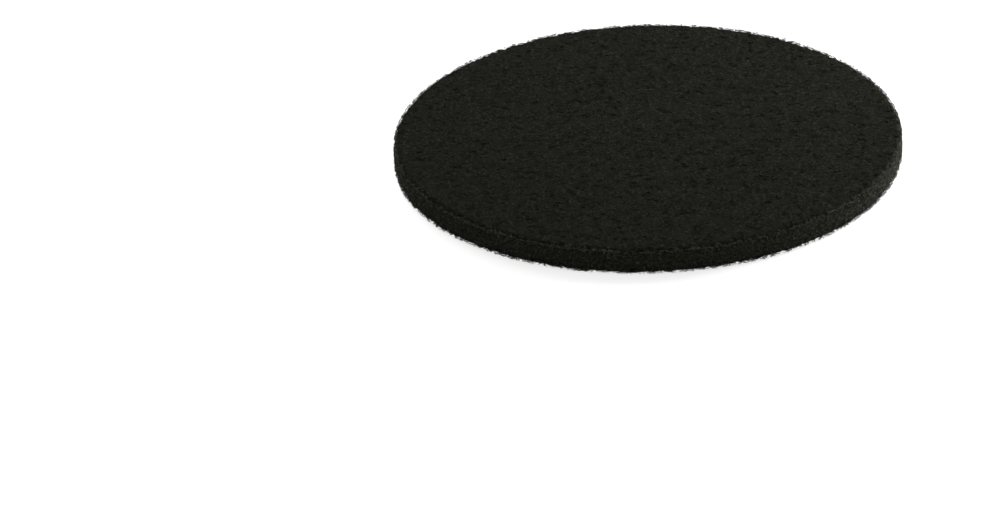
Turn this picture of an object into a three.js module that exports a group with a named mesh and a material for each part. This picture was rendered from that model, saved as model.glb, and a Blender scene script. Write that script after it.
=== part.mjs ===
// A floor polishing pad: one round disc of springy non-woven web, die-cut from a sheet.
// Its fibre is bonded with resin and pressed between rolls, so the tops of the fibre tufts
// lie level in each face, with shallow hollows between them. The cut wall is ragged.
// Millimetres, +Z up. The origin is the centre of the lower face, on the floor.
import * as THREE from "three";
import { mergeVertices } from "three/addons/utils/BufferGeometryUtils.js";

// Driving dimensions
const padDiameter = 430; // 17 in machine pad
const padThickness = 23;
const arrisRadius = 2.5; // soft round where a face meets the cut wall
const hollowDepth = 1.2; // deepest hollow between tufts in a face
const cutRaggedness = 1.1; // deepest gap between cut fibre ends in the wall

// Fineness of the web's relief
const tuftsAcross = 48; // even, so that the square rings of tufts close on the centre
const tuftsUpWall = 4;
const levelShare = 0.45; // share of a face's tufts that reach its level plane

const padRadius = padDiameter / 2;
const faceRadius = padRadius - arrisRadius; // where the level face ends
const faceRings = tuftsAcross / 2 - 1; // rings of tufts from the centre to faceRadius
const arrisMiddle = arrisRadius * (1 - Math.SQRT1_2); // how far the arris has rounded away there
const wallRows = tuftsUpWall + 2; // half of each arris takes one row more

// A repeatable stream of numbers from 0 to 1.
function repeatableNumbers(seed) {
  let state = seed;
  return () => {
    state = (state * 1664525 + 1013904223) % 2 ** 32;
    return state / 2 ** 32;
  };
}

// Direction, round the axis, of a point of the square grid that is drawn out to a disc.
// Each square ring becomes a circle, and equal steps along it stay equal.
function turnOf(u, v) {
  if (u === 0 && v === 0) return 0;
  const eighth = Math.PI / 4;
  if (Math.abs(u) >= Math.abs(v)) return eighth * (v / u) + (u < 0 ? Math.PI : 0);
  return 2 * eighth - eighth * (u / v) + (v < 0 ? Math.PI : 0);
}

// Radius and height of the rim at a row: half of the lower arris, the wall, half of the upper one.
function rimSection(row) {
  if (row === 0) return { radius: padRadius - arrisMiddle, height: arrisMiddle };
  if (row === wallRows) return { radius: padRadius - arrisMiddle, height: padThickness - arrisMiddle };
  const wallHeight = padThickness - 2 * arrisRadius;
  return { radius: padRadius, height: arrisRadius + ((row - 1) / tuftsUpWall) * wallHeight };
}

// Splits each four-cornered cell along its shorter diagonal, so that no tuft is a long sliver.
function splitShorterWay(geometry) {
  const corner = geometry.index.array;
  const place = geometry.getAttribute("position");
  const point = (i) => new THREE.Vector3().fromBufferAttribute(place, i);
  for (let k = 0; k < corner.length; k += 6) {
    const [a, b, d, , c] = corner.slice(k, k + 5);
    const shorter = point(a).distanceTo(point(c)) < point(b).distanceTo(point(d));
    if (shorter) corner.set([a, b, c, a, c, d], k);
  }
}

// The grid of a square box, drawn out to the pad's disc, with each tuft at its own depth.
function tuftedDisc() {
  const box = new THREE.BoxGeometry(2, 2, 2, tuftsAcross, tuftsAcross, wallRows);
  box.deleteAttribute("normal");
  box.deleteAttribute("uv");
  const disc = mergeVertices(box);
  const place = disc.getAttribute("position");
  const next = repeatableNumbers(17);
  for (let i = 0; i < place.count; i++) {
    const [u, v, w] = [place.getX(i), place.getY(i), place.getZ(i)];
    const ring = Math.round((Math.max(Math.abs(u), Math.abs(v)) * tuftsAcross) / 2);
    const turn = turnOf(u, v);
    const depth = next();
    let radius, height;
    if (ring > faceRings) {
      ({ radius, height } = rimSection(Math.round(((w + 1) / 2) * wallRows)));
      radius -= cutRaggedness * depth;
    } else {
      const sunk = (hollowDepth * Math.max(0, depth - levelShare)) / (1 - levelShare);
      radius = (faceRadius * ring) / faceRings;
      height = w > 0 ? padThickness - sunk : sunk;
    }
    place.setXYZ(i, radius * Math.cos(turn), radius * Math.sin(turn), height);
  }
  splitShorterWay(disc);
  disc.computeVertexNormals();
  return disc;
}

const blackWeb = new THREE.MeshStandardMaterial({
  color: new THREE.Color().setRGB(0.125, 0.126, 0.108, THREE.SRGBColorSpace),
  roughness: 0.9,
  metalness: 0,
});

const polishingPad = new THREE.Mesh(tuftedDisc(), blackWeb);
polishingPad.name = "polishing_pad";

const part = new THREE.Group();
part.add(polishingPad);

export default part;
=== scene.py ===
"""The looks of a floor polishing pad: a round disc of springy, resin-bonded fibre web.

The body of the web is a felted disc. Over it lie separate fibres: crimped strands in the two
pressed faces, curls round the die-cut wall, and the cut ends that stand out of that wall.
Lengths are in metres, with +Z up and the origin at the centre of the lower face.
"""

import math
import random

import bmesh
import bpy
import numpy as np
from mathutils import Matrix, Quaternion, Vector, noise


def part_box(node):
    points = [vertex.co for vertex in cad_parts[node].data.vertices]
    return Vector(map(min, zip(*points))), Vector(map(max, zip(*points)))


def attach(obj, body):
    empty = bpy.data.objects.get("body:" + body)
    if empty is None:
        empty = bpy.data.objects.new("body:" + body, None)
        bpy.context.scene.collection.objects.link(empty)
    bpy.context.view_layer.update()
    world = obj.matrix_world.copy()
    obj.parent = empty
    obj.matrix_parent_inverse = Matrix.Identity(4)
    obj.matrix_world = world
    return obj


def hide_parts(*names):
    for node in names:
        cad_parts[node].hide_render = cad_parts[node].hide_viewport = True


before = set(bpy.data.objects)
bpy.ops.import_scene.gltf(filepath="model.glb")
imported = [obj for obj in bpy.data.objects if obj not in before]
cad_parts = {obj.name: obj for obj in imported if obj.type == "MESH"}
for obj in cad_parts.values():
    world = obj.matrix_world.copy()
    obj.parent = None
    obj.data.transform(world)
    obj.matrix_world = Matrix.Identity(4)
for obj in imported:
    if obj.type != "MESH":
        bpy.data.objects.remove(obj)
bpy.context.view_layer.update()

NOISE_SEED = 1
noise.seed_set(NOISE_SEED)  # or else the vector noise would differ from run to run

MM = 0.001
WHOLE_TURN = 2 * math.pi
UPWARDS = Vector((0, 0, 1))

# The pad, as the frame holds it
pad_low, pad_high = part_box("polishing_pad")
PAD_RADIUS = (pad_high.x - pad_low.x) / 2
PAD_THICKNESS = pad_high.z - pad_low.z

# The paths along its section, from the centre of the upper face to that of the lower one
ARRIS_RADIUS = 2.5 * MM  # round between a face and the cut wall
FLAT_RADIUS = PAD_RADIUS - ARRIS_RADIUS
ARRIS_PATH = ARRIS_RADIUS * math.pi / 2
WALL_PATH = PAD_THICKNESS - 2 * ARRIS_RADIUS
FACE_SHARE_PATH = FLAT_RADIUS + ARRIS_PATH / 2  # from the centre of a face to the middle of its arris
WHOLE_PATH = 2 * FLAT_RADIUS + 2 * ARRIS_PATH + WALL_PATH

# The body of the web
FACE_CELLS = 180  # cells across a face
WALL_ROWS = 12  # rows of cells up the wall
FACE_COVER = 0.45 * MM  # depth of the loose fibre layer over a face
WALL_COVER = 1.0 * MM  # depth of the loose fibre layer over the wall
FACE_RELIEF = 0.65 * MM  # deepest pit of the felted faces
WALL_RELIEF = 1.6 * MM  # deepest pit of the cut wall
PIT_WIDTH = 4 * MM
PIT_LAYERS = 3  # layers of noise that shape the pits
PIT_SHRINK = 2.1  # how much finer each layer is than the one before
PIT_FADE = 0.7  # how fast the layers grow weaker
PIT_WARP = 2.5 * MM  # how far the pits' outlines wander
PIT_WARP_WIDTH = 8 * MM
ARRIS_FALL = 3.0 * MM  # how much deeper the body lies under an arris, where the web is open
ARRIS_FALL_WIDTH = 3.4 * MM
TUFT_FALL = 0.6  # share of that fall that a tuft has
PIT_FALL = 0.7  # share of that fall that the deepest pit adds

# Every fibre, with ranges and spreads that each one draws from
FIBRE_RADIUS = 0.21 * MM
FIBRE_SIDES = 3
STOUTNESS = (0.7, 1.4)
MERGE_DISTANCE = 0.001 * MM  # closes a fibre's pointed ends
CRIMP_WAVE = (3.5 * MM, 8 * MM)  # the crimp's wavelength
CRIMP_SWING = (0.7, 1.5)  # how far the crimp turns a fibre aside, in radians
BEND_SPREAD = 18.0  # of a fibre's curvature, in radians for each metre
DEPTH_WAVES = (1.0, 2.5)  # how many times a fibre dips and rises
DEPTH_SWING = 0.35  # how far it dips, as a share of the range of depths
TAIL_POWER = 6  # how late a fibre turns down to its ends
TONE_POWER = 2.5  # how much rarer pale fibres are than dark ones

# Strands in the faces
UPPER_FIBRES = 4400  # in each of the upper face's pieces
LOWER_FIBRES = 2600
STRAND_SIZES = (1, 1, 2, 2, 3)  # how many fibres lie side by side, drawn by lot
STRAND_SPREAD = 0.7 * MM
STRAND_POINTS = 9
STRAND_STRIDE = 1.15 * MM
STRAND_DEPTHS = (0.3 * MM, 1.1 * MM, 1.6 * MM)  # the least, the most and that of the ends
STRAND_REACH = PAD_RADIUS - 2.8 * MM  # how far from the axis a strand may run
FEWEST_POINTS = 4  # of a fibre that is cut short there and still kept

# Curls round the wall
WALL_CURLS = 5200
CURL_START = FLAT_RADIUS + 0.3 * ARRIS_PATH  # the path at which the curls begin
CURL_SLOPE = 0.8  # how far a curl runs up or down, against how far it runs round
CURL_POINTS = 6
CURL_STRIDE = 1.3 * MM
CURL_DEPTHS = (0.5 * MM, 2.0 * MM, 2.6 * MM)  # the least, the most and that of the ends
CURL_LIT_TONE = 0.4  # the least tone of the curls, raised as painted light on the wall

# Cut ends, in tufts. A pair of spreads is for round the wall and for up or down it
CUT_ENDS = 14300
TUFT_ENDS = 4  # cut ends that stand together
TUFT_START = FLAT_RADIUS - 2.0 * MM  # the path at which the tufts begin
TUFT_DEPTH = (-0.5 * MM, 1.8 * MM)
TUFT_SPREAD = 0.5 * MM
TUFT_LEAN = (0.5, 0.35)
END_LEAN = (0.3, 0.2)
END_CURL = (0.5, 0.3)
END_DEPTH = (0, 0.6 * MM)  # further depth of each tip
END_STRIDE = (0.9 * MM, 1.5 * MM)
END_STRIDES = 3
END_GIRTH = 0.8
END_LIT_TONE = 0.55  # the least tone of the cut ends, raised as painted light on the wall

# Loose ends that stray past the faces
LOWEST_LOOSE = 0.2 * MM  # where they begin to be pressed back
HIGHEST_LOOSE = PAD_THICKNESS + 0.6 * MM
SLACK_BELOW = 0.08  # share of their further way that they keep
SLACK_ABOVE = 0.4

# The map that each fibre has a cell of
FACE_CORNERS = 4
CELL_LENGTH = 8  # a cell's length over its width
CELL_MARGIN = 0.08  # bare share of a cell at each side

# Seeds, each pair for where the fibres lie and for their girths and tones
UPPER_SEEDS = ((31, 41), (32, 42))  # one pair for each piece
LOWER_SEEDS = (51, 52)
CURL_SEEDS = (61, 62)
END_SEEDS = (71, 72)

# The photograph's frame and the pad's place in it, in pixels
FRAME_WIDTH = 1000
FRAME_HEIGHT = 525
PAD_SHOWN_AT = (647.3, 132.1)  # centre of the upper face
PIXELS_ACROSS_RADIUS = 254.9
CAMERA_ELEVATION = math.radians(26.6)
CAMERA_ROLL = math.radians(-1.64)
CAMERA_DISTANCE = 5.0
CLIP_START = 0.1
CLIP_END = 100.0
SENSOR_WIDTH = 36.0  # in the camera's own millimetres

# The stage
FLOOR_HALF_WIDTH = 15.0
FLOOR_SHOWN_COLOUR = (0.40, 0.40, 0.40, 1.0)
FLOOR_BOUNCE_COLOUR = (0.85, 0.85, 0.85, 1.0)
FLOOR_LIFT = 0.75  # light of its own that brings the lit floor to white
SURROUND_COLOUR = (1.0, 1.0, 1.0, 1.0)
SURROUND_LEVEL = 0.42
SOFT_LIGHT_WIDTH = 0.68
SOFT_LIGHTS = (((0.80, 0.36, 0.36), 22.5), ((-0.42, 0.50, 0.58), 6.5))  # each with its watts

# The finish of the felted body, with painted shade in its pits and gaps and painted light on its rims and
# wall
# Painted shade: the pits between the ridges and the gaps between the clumps take this darker colour
WEB_PIT_SHADE_COLOUR = (0.0031, 0.0033, 0.0024, 1.0)
WEB_TOP_COLOUR = (0.0083, 0.0088, 0.0063, 1.0)
# Painted light: a paler colour on the faces' outer rims and on the cut wall
WEB_RIM_LIGHT_COLOUR = (0.0225, 0.0238, 0.0180, 1.0)
WEB_BEAD_COLOUR = (0.0191, 0.0203, 0.0148, 1.0)
WEB_BUMP = 0.4 * MM
WEB_ROUGHNESS = 0.85
SPECULAR_LEVEL = 0.01
SWIRL_SCALE = 90.0  # of the noise that bends the ridges
SWIRL_REACH = (6 * MM, 6 * MM, 3 * MM)  # how far it bends them
RIDGE_SCALE = (450.0, 1000.0, 1000.0)  # of the ridges' noise: along them, across them and down
RIDGE_SHARPNESS = 5.0
RIDGE_LAYERS = ((0.0, 0.0), (0.9, 3.1), (1.9, 7.7), (2.6, 12.9))  # each with its turn and its offset
CLUMP_SCALE = 480.0  # of the noise that the resin gathers by
GAP_SHADE_STOPS = ((0.35, 0.0), (0.62, 1.0))  # that noise in the gaps and on the clumps, which sets where shade is painted in the gaps
GAP_SHADE_LEVEL = 0.4  # how much of the ridges' colour is left in the gaps, where shade is painted
BEAD_START = 0.56  # the clumps' noise where the beads begin
BEAD_SHARPNESS = 7.0
RIM_LIGHT_START = PAD_RADIUS - 5 * MM  # where painted light on the faces' outer rims and the wall begins
RIM_LIGHT_BAND = 2.5 * MM  # over which it grows full

# The finish of the fibres
FIBRE_DARK_COLOUR = (0.0050, 0.0053, 0.0037, 1.0)
FIBRE_LIGHT_COLOUR = (0.0208, 0.0222, 0.0160, 1.0)
WALL_FIBRE_LIT_COLOUR = (0.0700, 0.0735, 0.0570, 1.0)  # of the wall's fibres: painted light, a paler copy of the face fibres' colour
FIBRE_ROUGHNESS = 0.55
GRAIN_START = 0.25  # the clumps' noise where the grains begin
GRAIN_SHARPNESS = 4.0
LEAST_GRAIN = 0.1


# Wires: node maths as plain expressions

class Wire:
    """An output of a node. Sums, differences and products of wires and numbers add Math nodes."""

    def __init__(self, tree, socket):
        self.tree = tree
        self.socket = socket

    def maths(self, operation, first, second):
        return add_node(self.tree, "ShaderNodeMath", {"operation": operation}, {0: first, 1: second})

    def __add__(self, other):
        return self.maths("ADD", self, other)

    def __radd__(self, other):
        return self.maths("ADD", other, self)

    def __sub__(self, other):
        return self.maths("SUBTRACT", self, other)

    def __rsub__(self, other):
        return self.maths("SUBTRACT", other, self)

    def __mul__(self, other):
        return self.maths("MULTIPLY", self, other)

    def __rmul__(self, other):
        return self.maths("MULTIPLY", other, self)

    def __abs__(self):
        return self.maths("ABSOLUTE", self, 0.0)

    def at_least(self, other):
        return self.maths("MAXIMUM", self, other)


def add_node(tree, kind, settings, inputs, output=0):
    """Adds a node, sets its settings and then its inputs, and returns one of its outputs."""
    node = tree.nodes.new(kind)
    for name, value in settings.items():
        if name == "stops":
            set_stops(node.color_ramp, value)
        else:
            setattr(node, name, value)
    for name, value in inputs.items():
        if isinstance(value, Wire):
            tree.links.new(value.socket, node.inputs[name])
        else:
            node.inputs[name].default_value = value
    return Wire(tree, node.outputs[output])


def set_stops(ramp, stops):
    """Gives a colour ramp its stops, each a place from 0 to 1 and a grey level."""
    while len(ramp.elements) < len(stops):
        ramp.elements.new(1.0)
    for element, (place, level) in zip(ramp.elements, stops):
        element.position = place
        element.color = (level, level, level, 1.0)


def new_material(name):
    """An empty node material and its tree."""
    material = bpy.data.materials.new(name)
    material.use_nodes = True
    material.node_tree.nodes.clear()
    return material, material.node_tree


def show_shader(tree, shader, output_kind="ShaderNodeOutputMaterial"):
    """Ends a material's or a world's nodes with this shader."""
    output = tree.nodes.new(output_kind)
    tree.links.new(shader.socket, output.inputs["Surface"])


def blend_colours(tree, share, first, second):
    """The first colour where share is 0, the second where it is 1."""
    settings = {"data_type": "RGBA", "clamp_factor": True}
    return add_node(tree, "ShaderNodeMix", settings, {0: share, 6: first, 7: second}, output=2)


# The black web's finish

def fibre_ridges(tree, place, turn, offset):
    """Ridges, from 0 to 1, of fibres that mostly run one way in the pad's plane."""
    turned = add_node(tree, "ShaderNodeMapping", {}, {
        "Vector": place,
        "Location": (offset, offset, offset),
        "Rotation": (0.0, 0.0, turn),
        "Scale": RIDGE_SCALE,
    })
    threads = add_node(tree, "ShaderNodeTexNoise", {}, {
        "Vector": turned,
        "Scale": 1.0,
        "Detail": 1.5,
        "Roughness": 0.5,
        "Distortion": 0.6,
    })
    return 1.0 - abs(threads - 0.5) * RIDGE_SHARPNESS


def resin_clumps(tree, place):
    """Noise about 0.5 that is high on the beads of resin and low in the gaps between them."""
    return add_node(tree, "ShaderNodeTexNoise", {}, {"Vector": place, "Scale": CLUMP_SCALE, "Detail": 2.0})


def web_finish():
    """The felted body: a tangle of fine ridges over pits with painted shade, and painted light on the
    faces' rims and the wall.
    """
    material, tree = new_material("black_web")
    place = add_node(tree, "ShaderNodeTexCoord", {}, {}, output="Object")
    swirl = add_node(tree, "ShaderNodeTexNoise", {}, {
        "Vector": place,
        "Scale": SWIRL_SCALE,
        "Detail": 1.0,
    }, output="Color")
    bent = add_node(tree, "ShaderNodeVectorMath", {"operation": "MULTIPLY_ADD"}, {
        0: swirl,
        1: SWIRL_REACH,
        2: place,
    })
    first, *others = [fibre_ridges(tree, bent, turn, offset) for turn, offset in RIDGE_LAYERS]
    tangle = first.at_least(0.0)
    for layer in others:
        tangle = tangle.at_least(layer)
    clumps = resin_clumps(tree, place)
    # Painted shade: the gaps between the clumps are darkened
    clump_unshaded = add_node(tree, "ShaderNodeValToRGB", {"stops": GAP_SHADE_STOPS}, {0: clumps})
    level = tangle * (GAP_SHADE_LEVEL + clump_unshaded * (1 - GAP_SHADE_LEVEL))
    from_axis = add_node(tree, "ShaderNodeVectorMath", {"operation": "MULTIPLY"}, {
        0: place,
        1: (1.0, 1.0, 0.0),
    })
    radius = add_node(tree, "ShaderNodeVectorMath", {"operation": "LENGTH"}, {0: from_axis}, output="Value")
    # Painted light: paler towards the rims and over the wall
    cut = (radius - RIM_LIGHT_START) * (1 / RIM_LIGHT_BAND)
    rim_lit_top_colour = blend_colours(tree, cut, WEB_TOP_COLOUR, WEB_RIM_LIGHT_COLOUR)
    # Painted shade: where the ridges are low or the gaps lie, the colour falls to that of the pits
    shaded_felt_colour = blend_colours(tree, level, WEB_PIT_SHADE_COLOUR, rim_lit_top_colour)
    beads = (clumps - BEAD_START) * BEAD_SHARPNESS
    shader = add_node(tree, "ShaderNodeBsdfPrincipled", {}, {
        "Base Color": blend_colours(tree, beads, shaded_felt_colour, WEB_BEAD_COLOUR),
        "Roughness": WEB_ROUGHNESS,
        "Specular IOR Level": SPECULAR_LEVEL,
        "Normal": add_node(tree, "ShaderNodeBump", {}, {"Distance": WEB_BUMP, "Height": level}),
    })
    show_shader(tree, shader)
    return material


def fibre_finish(name, light_colour):
    """A separate fibre: its own tone, with fine grains of abrasive in the resin along it."""
    material, tree = new_material(name)
    place = add_node(tree, "ShaderNodeTexCoord", {}, {}, output="Object")
    tone = add_node(tree, "ShaderNodeAttribute", {"attribute_name": "tone"}, {}, output="Fac")
    grains = (resin_clumps(tree, place) - GRAIN_START) * GRAIN_SHARPNESS
    share = tone * grains.at_least(LEAST_GRAIN)
    shader = add_node(tree, "ShaderNodeBsdfPrincipled", {}, {
        "Base Color": blend_colours(tree, share, FIBRE_DARK_COLOUR, light_colour),
        "Roughness": FIBRE_ROUGHNESS,
        "Specular IOR Level": SPECULAR_LEVEL,
    })
    show_shader(tree, shader)
    return material


# The pad's section

def section(path):
    """The pad's outline at a path from the centre of the upper face, over the wall, to the lower one.

    Returns the radius, the height, and the radial and upward parts of the outward direction.
    """
    folded = min(path, WHOLE_PATH - path)
    if folded <= FLAT_RADIUS:
        radius, drop, out, up = folded, 0.0, 0.0, 1.0
    elif folded <= FLAT_RADIUS + ARRIS_PATH:
        angle = (folded - FLAT_RADIUS) / ARRIS_RADIUS
        out, up = math.sin(angle), math.cos(angle)
        radius = FLAT_RADIUS + ARRIS_RADIUS * out
        drop = ARRIS_RADIUS * (1 - up)
    else:
        radius, out, up = PAD_RADIUS, 1.0, 0.0
        drop = ARRIS_RADIUS + folded - FLAT_RADIUS - ARRIS_PATH
    if path <= WHOLE_PATH / 2:
        return radius, PAD_THICKNESS - drop, out, up
    return radius, drop, out, -up


def outline_point(path, turn):
    """A point of the pad's surface, and its outward direction, at an angle round the axis."""
    radius, height, out, up = section(path)
    across = Vector((math.cos(turn), math.sin(turn), 0))
    return across * radius + UPWARDS * height, across * out + UPWARDS * up


def turn_in_disc(u, v):
    """The angle of a point of the square grid that is drawn out to a disc."""
    if u == 0 and v == 0:
        return 0.0
    eighth = math.pi / 4
    if abs(u) >= abs(v):
        return eighth * (v / u) + (math.pi if u < 0 else 0.0)
    return 2 * eighth - eighth * (u / v) + (math.pi if v < 0 else 0.0)


# The felted body

def pit_share(place):
    """How deep the felt's surface lies, from 0 on a tuft to 1 in a pit."""
    warp = noise.noise_vector(place / PIT_WARP_WIDTH) * PIT_WARP
    pits = noise.fractal((place + warp) / PIT_WIDTH, PIT_FADE, PIT_SHRINK, PIT_LAYERS)
    return min(1.0, max(0.0, 0.5 + pits))


def slab_of_cells():
    """A square slab, cut into small cells on its faces and its sides."""
    slab = bmesh.new()
    bmesh.ops.create_cube(slab, size=2)
    level = [e for e in slab.edges if e.verts[0].co.z == e.verts[1].co.z]
    bmesh.ops.subdivide_edges(slab, edges=level, cuts=FACE_CELLS - 1, use_grid_fill=True)
    upright = [e for e in slab.edges if e.verts[0].co.z != e.verts[1].co.z]
    bmesh.ops.subdivide_edges(slab, edges=upright, cuts=WALL_ROWS - 1, use_grid_fill=True)
    return slab


def felted_body(material):
    """The body of the web: the slab drawn out to a disc and sunk by the felt's relief."""
    slab = slab_of_cells()
    rim_path = WHOLE_PATH - 2 * FACE_SHARE_PATH
    for vertex in slab.verts:
        u, v, w = vertex.co
        ring = max(abs(u), abs(v))
        path = FACE_SHARE_PATH * ring if ring < 1 else FACE_SHARE_PATH + rim_path * (1 - w) / 2
        if ring < 1 and w < 0:
            path = WHOLE_PATH - path
        point, outward = outline_point(path, turn_in_disc(u, v))
        pit = pit_share(point)
        wallward = outward.xy.length
        from_arris = FACE_SHARE_PATH - min(path, WHOLE_PATH - path)
        nearness = math.exp(-(from_arris / ARRIS_FALL_WIDTH) ** 2)
        fall = ARRIS_FALL * (TUFT_FALL + PIT_FALL * pit * pit) * nearness
        cover = FACE_COVER + (WALL_COVER - FACE_COVER) * wallward + fall
        relief = FACE_RELIEF + (WALL_RELIEF - FACE_RELIEF) * wallward
        vertex.co = point - outward * (cover + relief * pit)
    bmesh.ops.recalc_face_normals(slab, faces=slab.faces)
    return new_piece("web_body", slab, material)


def new_piece(name, shape, material):
    """Turns a bmesh into a smooth piece."""
    mesh = bpy.data.meshes.new(name)
    shape.to_mesh(mesh)
    shape.free()
    mesh.shade_smooth()
    mesh.materials.append(material)
    piece = bpy.data.objects.new(name, mesh)
    bpy.context.scene.collection.objects.link(piece)
    return piece


# The fibres' paths

def crimped_line(draw, points, stride):
    """Places in a plane along a crimped fibre, with its middle at the origin."""
    wave = draw.uniform(*CRIMP_WAVE)
    swing = draw.uniform(*CRIMP_SWING)
    phase = draw.uniform(0, WHOLE_TURN)
    heading = draw.uniform(0, WHOLE_TURN)
    bend = draw.gauss(0, BEND_SPREAD)
    x = y = 0.0
    line = []
    for i in range(points):
        line.append((x, y))
        along = i * stride
        way = heading + bend * along + swing * math.sin(WHOLE_TURN * along / wave + phase)
        x += stride * math.cos(way)
        y += stride * math.sin(way)
    middle_x, middle_y = line[points // 2]
    return [(px - middle_x, py - middle_y) for px, py in line]


def depths_along(draw, points, least, most, ends):
    """How deep each point of a fibre lies: wavering between two depths, with both ends deeper."""
    middle = draw.uniform(least, most)
    swing = (most - least) * DEPTH_SWING
    phase = draw.uniform(0, WHOLE_TURN)
    waves = draw.uniform(*DEPTH_WAVES)
    depths = []
    for i in range(points):
        share = i / (points - 1)
        tail = abs(2 * share - 1) ** TAIL_POWER
        depth = middle + swing * math.sin(WHOLE_TURN * waves * share + phase)
        depths.append(max(least, depth) * (1 - tail) + ends * tail)
    return depths


def face_fibres(seed, count, upward):
    """Strands that lie in a face, each of one to three fibres side by side."""
    draw = random.Random(seed)
    height = PAD_THICKNESS if upward else 0.0
    inward = -1 if upward else 1
    lines = []
    while len(lines) < count:
        distance = FLAT_RADIUS * math.sqrt(draw.random())
        turn = draw.uniform(0, WHOLE_TURN)
        centre_x, centre_y = distance * math.cos(turn), distance * math.sin(turn)
        strand = crimped_line(draw, STRAND_POINTS, STRAND_STRIDE)
        for _ in range(draw.choice(STRAND_SIZES)):
            aside_x, aside_y = draw.gauss(0, STRAND_SPREAD), draw.gauss(0, STRAND_SPREAD)
            depths = depths_along(draw, STRAND_POINTS, *STRAND_DEPTHS)
            lines.append([
                (centre_x + aside_x + x, centre_y + aside_y + y, height + inward * depth)
                for (x, y), depth in zip(strand, depths)
            ])
    return [kept for kept in map(within_reach, lines[:count]) if len(kept) >= FEWEST_POINTS]


def within_reach(line):
    """The part of a fibre that lies far enough inside the cut wall."""
    return [point for point in line if math.hypot(point[0], point[1]) < STRAND_REACH]


def wall_curls(seed, count):
    """Short curls that lie round the cut wall."""
    draw = random.Random(seed)
    end = WHOLE_PATH - CURL_START
    lines = []
    for _ in range(count):
        turn = draw.uniform(0, WHOLE_TURN)
        start = CURL_START + (end - CURL_START) * draw.random()
        curl = crimped_line(draw, CURL_POINTS, CURL_STRIDE)
        depths = depths_along(draw, CURL_POINTS, *CURL_DEPTHS)
        line = []
        for (along, down), depth in zip(curl, depths):
            path = min(max(start + CURL_SLOPE * down, CURL_START), end)
            point, outward = outline_point(path, turn + along / PAD_RADIUS)
            line.append(tuple(point - outward * depth))
        lines.append(line)
    return lines


def tilt(draw, around, spreads):
    """A random tilt along the wall, with one spread for round it and one for up or down it."""
    round_spread, rise_spread = spreads
    return around * draw.gauss(0, round_spread) + UPWARDS * draw.gauss(0, rise_spread)


def cut_ends(seed, count):
    """Tufts of fibre ends that were cut off at the wall and its arrises.

    Each end is drawn from its tip inwards.
    """
    draw = random.Random(seed)
    tuft_room = WHOLE_PATH - 2 * TUFT_START
    lines = []
    while len(lines) < count:
        tuft_turn = draw.uniform(0, WHOLE_TURN)
        tuft_path = TUFT_START + tuft_room * draw.random()
        tuft_depth = draw.uniform(*TUFT_DEPTH)
        around = Vector((-math.sin(tuft_turn), math.cos(tuft_turn), 0))
        lean = tilt(draw, around, TUFT_LEAN)
        for _ in range(TUFT_ENDS):
            turn = tuft_turn + draw.gauss(0, TUFT_SPREAD) / PAD_RADIUS
            point, outward = outline_point(tuft_path + draw.gauss(0, TUFT_SPREAD), turn)
            way = (lean + tilt(draw, around, END_LEAN) - outward).normalized()
            curl = tilt(draw, around, END_CURL)
            place = point - outward * (tuft_depth + draw.uniform(*END_DEPTH))
            stride = draw.uniform(*END_STRIDE)
            line = [place]
            for _ in range(END_STRIDES):
                place = place + way * stride
                way = (way + curl).normalized()
                line.append(place)
            lines.append([(p.x, p.y, pressed(p.z)) for p in line])
    return lines


def pressed(height):
    """A height that strays beyond the planes of the faces, pressed back almost to them."""
    inside = min(max(height, LOWEST_LOOSE), HIGHEST_LOOSE)
    slack = SLACK_ABOVE if height > inside else SLACK_BELOW
    return inside + slack * (height - inside)


# The fibres' shapes

def fibre_section():
    """The closed outline that every fibre is drawn out with."""
    outline = bpy.data.curves.new("fibre_section", "CURVE")
    spline = outline.splines.new("POLY")
    spline.points.add(FIBRE_SIDES - 1)
    for i, point in enumerate(spline.points):
        angle = WHOLE_TURN * i / FIBRE_SIDES
        point.co = (FIBRE_RADIUS * math.cos(angle), FIBRE_RADIUS * math.sin(angle), 0, 1)
    spline.use_cyclic_u = True
    return bpy.data.objects.new("fibre_section", outline)


def fibre_piece(name, lines, outline, material, seed, least_tone=0.0, girth=1.0):
    """Draws every line out to a fibre with pointed ends, all in one piece."""
    curve = bpy.data.curves.new(name, "CURVE")
    curve.dimensions = "3D"
    curve.bevel_mode = "OBJECT"
    curve.bevel_object = outline
    draw = random.Random(seed)
    for line in lines:
        stoutness = girth * draw.uniform(*STOUTNESS)
        spline = curve.splines.new("POLY")
        spline.points.add(len(line) - 1)
        spline.points.foreach_set("co", [c for point in line for c in (*point, 1.0)])
        spline.points.foreach_set("radius", [0.0] + [stoutness] * (len(line) - 2) + [0.0])
    drawn = bpy.data.objects.new(name + "_lines", curve)
    bpy.context.scene.collection.objects.link(drawn)
    evaluated = drawn.evaluated_get(bpy.context.evaluated_depsgraph_get())
    mesh = bpy.data.meshes.new_from_object(evaluated)
    bpy.data.objects.remove(drawn)
    give_cells(mesh, [len(line) - 1 for line in lines], seed, least_tone)
    shape = bmesh.new()
    shape.from_mesh(mesh)
    bmesh.ops.remove_doubles(shape, verts=shape.verts, dist=MERGE_DISTANCE)
    bmesh.ops.recalc_face_normals(shape, faces=shape.faces)
    return new_piece(name, shape, material)


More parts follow.
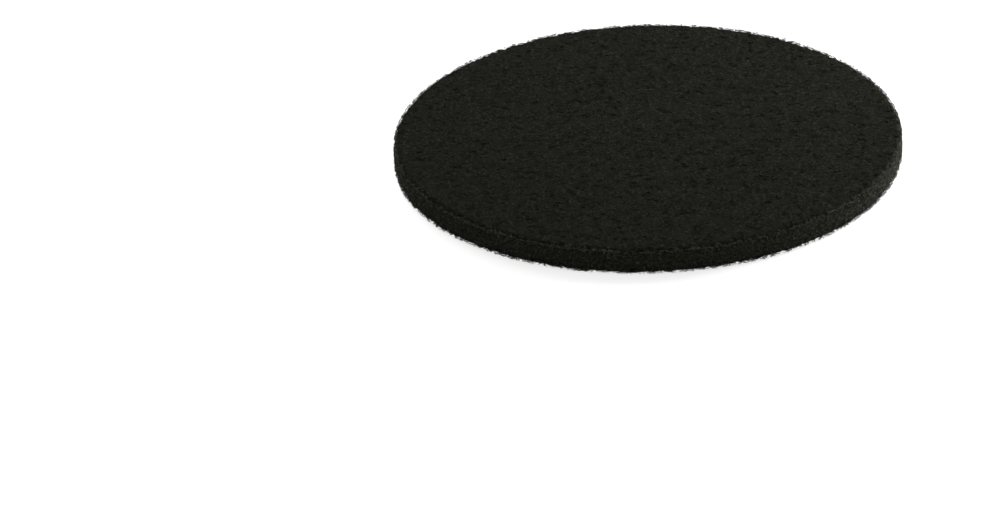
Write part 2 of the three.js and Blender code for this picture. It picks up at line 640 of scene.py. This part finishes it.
def give_cells(mesh, spans, seed, least_tone):
    """Gives each fibre its own cell of the map named OFBake, and its own tone."""
    corners = np.array(spans) * FIBRE_SIDES * FACE_CORNERS
    fibre = np.repeat(np.arange(len(spans)), corners)
    columns = math.ceil(math.sqrt(len(spans) / CELL_LENGTH))
    rows = math.ceil(len(spans) / columns)
    layer = mesh.uv_layers[0]
    layer.name = "OFBake"
    places = np.zeros(len(mesh.loops) * 2, np.float32)
    layer.data.foreach_get("uv", places)
    places = CELL_MARGIN + places.reshape(-1, 2) * (1 - 2 * CELL_MARGIN)
    places[:, 0] = (places[:, 0] + fibre % columns) / columns
    places[:, 1] = (places[:, 1] + fibre // columns) / rows
    layer.data.foreach_set("uv", places.ravel())
    chances = np.random.default_rng(seed).random(len(spans))
    tones = least_tone + (1 - least_tone) * chances ** TONE_POWER
    attribute = mesh.attributes.new("tone", "FLOAT", "FACE")
    attribute.data.foreach_set("value", tones[fibre[::FACE_CORNERS]].astype(np.float32))


# The camera and the stage

def look_from_the_photograph():
    """A long lens at the photograph's angle, with the pad at its place in the frame."""
    target = UPWARDS * PAD_THICKNESS
    back = Vector((0, -math.cos(CAMERA_ELEVATION), math.sin(CAMERA_ELEVATION)))
    focal = PIXELS_ACROSS_RADIUS * CAMERA_DISTANCE / PAD_RADIUS
    aside = (PAD_SHOWN_AT[0] - FRAME_WIDTH / 2) / focal
    above = (FRAME_HEIGHT / 2 - PAD_SHOWN_AT[1]) / focal
    swung = Vector((aside, above, -1)).rotation_difference(-UPWARDS)
    data = bpy.data.cameras.new("camera")
    data.sensor_width = SENSOR_WIDTH
    data.lens = SENSOR_WIDTH * focal / FRAME_WIDTH
    data.clip_start = CLIP_START
    data.clip_end = CLIP_END
    camera = bpy.data.objects.new("camera", data)
    camera.rotation_mode = "QUATERNION"
    camera.rotation_quaternion = back.to_track_quat("Z", "Y") @ Quaternion(UPWARDS, CAMERA_ROLL) @ swung
    camera.location = target + back * CAMERA_DISTANCE
    bpy.context.scene.collection.objects.link(camera)
    bpy.context.scene.camera = camera


def seen_directly(tree):
    """1 for rays that show the stage as it is: from the camera, or by way of a gloss or glass."""
    seen = add_node(tree, "ShaderNodeLightPath", {}, {}, output="Is Camera Ray")
    node = seen.socket.node
    for name in ("Is Glossy Ray", "Is Transmission Ray"):
        seen = seen.at_least(Wire(tree, node.outputs[name]))
    return seen


def lay_floor():
    """A wide white floor, which keeps the pad's shadow."""
    material, tree = new_material("floor")
    seen = seen_directly(tree)
    colour = blend_colours(tree, seen, FLOOR_BOUNCE_COLOUR, FLOOR_SHOWN_COLOUR)
    matt = add_node(tree, "ShaderNodeBsdfDiffuse", {}, {"Color": colour})
    lift = add_node(tree, "ShaderNodeEmission", {}, {"Strength": seen * FLOOR_LIFT})
    show_shader(tree, add_node(tree, "ShaderNodeAddShader", {}, {0: matt, 1: lift}))
    sheet = bmesh.new()
    bmesh.ops.create_grid(sheet, x_segments=1, y_segments=1, size=FLOOR_HALF_WIDTH)
    new_piece("floor", sheet, material)


def add_surround():
    """An even white surround, dimmer as a light than it looks."""
    world = bpy.data.worlds.new("surround")
    world.use_nodes = True
    tree = world.node_tree
    tree.nodes.clear()
    strength = SURROUND_LEVEL + seen_directly(tree) * (1 - SURROUND_LEVEL)
    surround = add_node(tree, "ShaderNodeBackground", {}, {
        "Color": SURROUND_COLOUR,
        "Strength": strength,
    })
    show_shader(tree, surround, "ShaderNodeOutputWorld")
    bpy.context.scene.world = world


def add_soft_lights():
    """A strong low soft light at the right, and a weaker, higher one at the left, each facing the pad."""
    for place, watts in SOFT_LIGHTS:
        lamp = bpy.data.lights.new("soft_light", "AREA")
        lamp.energy = watts
        lamp.size = SOFT_LIGHT_WIDTH
        placed = bpy.data.objects.new("soft_light", lamp)
        placed.location = place
        placed.visible_camera = False
        placed.rotation_mode = "QUATERNION"
        placed.rotation_quaternion = Vector(place).to_track_quat("Z", "Y")
        bpy.context.scene.collection.objects.link(placed)


# The pad, made up

def make_pad():
    """The body and its fibres, each riding on the pad's one body."""
    body = felted_body(web_finish())
    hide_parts("polishing_pad")
    pieces = [body]
    fibre = fibre_finish("black_fibre", FIBRE_LIGHT_COLOUR)
    # Painted light: the wall's fibres are a paler copy of the face fibres
    wall_lit_fibre = fibre_finish("wall_lit_fibre", WALL_FIBRE_LIT_COLOUR)
    outline = fibre_section()
    for number, (seed, look_seed) in enumerate(UPPER_SEEDS, 1):
        lines = face_fibres(seed, UPPER_FIBRES, upward=True)
        pieces.append(fibre_piece(f"upper_fibres_{number}", lines, outline, fibre, look_seed))
    seed, look_seed = LOWER_SEEDS
    lines = face_fibres(seed, LOWER_FIBRES, upward=False)
    pieces.append(fibre_piece("lower_fibres", lines, outline, fibre, look_seed))
    seed, look_seed = CURL_SEEDS
    lines = wall_curls(seed, WALL_CURLS)
    pieces.append(fibre_piece("wall_curls", lines, outline, wall_lit_fibre, look_seed, CURL_LIT_TONE))
    seed, look_seed = END_SEEDS
    lines = cut_ends(seed, CUT_ENDS)
    pieces.append(fibre_piece("cut_ends", lines, outline, wall_lit_fibre, look_seed, END_LIT_TONE, END_GIRTH))
    bpy.data.objects.remove(outline)
    for piece in pieces:
        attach(piece, "root")


make_pad()
look_from_the_photograph()
lay_floor()
add_surround()
add_soft_lights()
bpy.context.scene.view_settings.view_transform = "Standard"
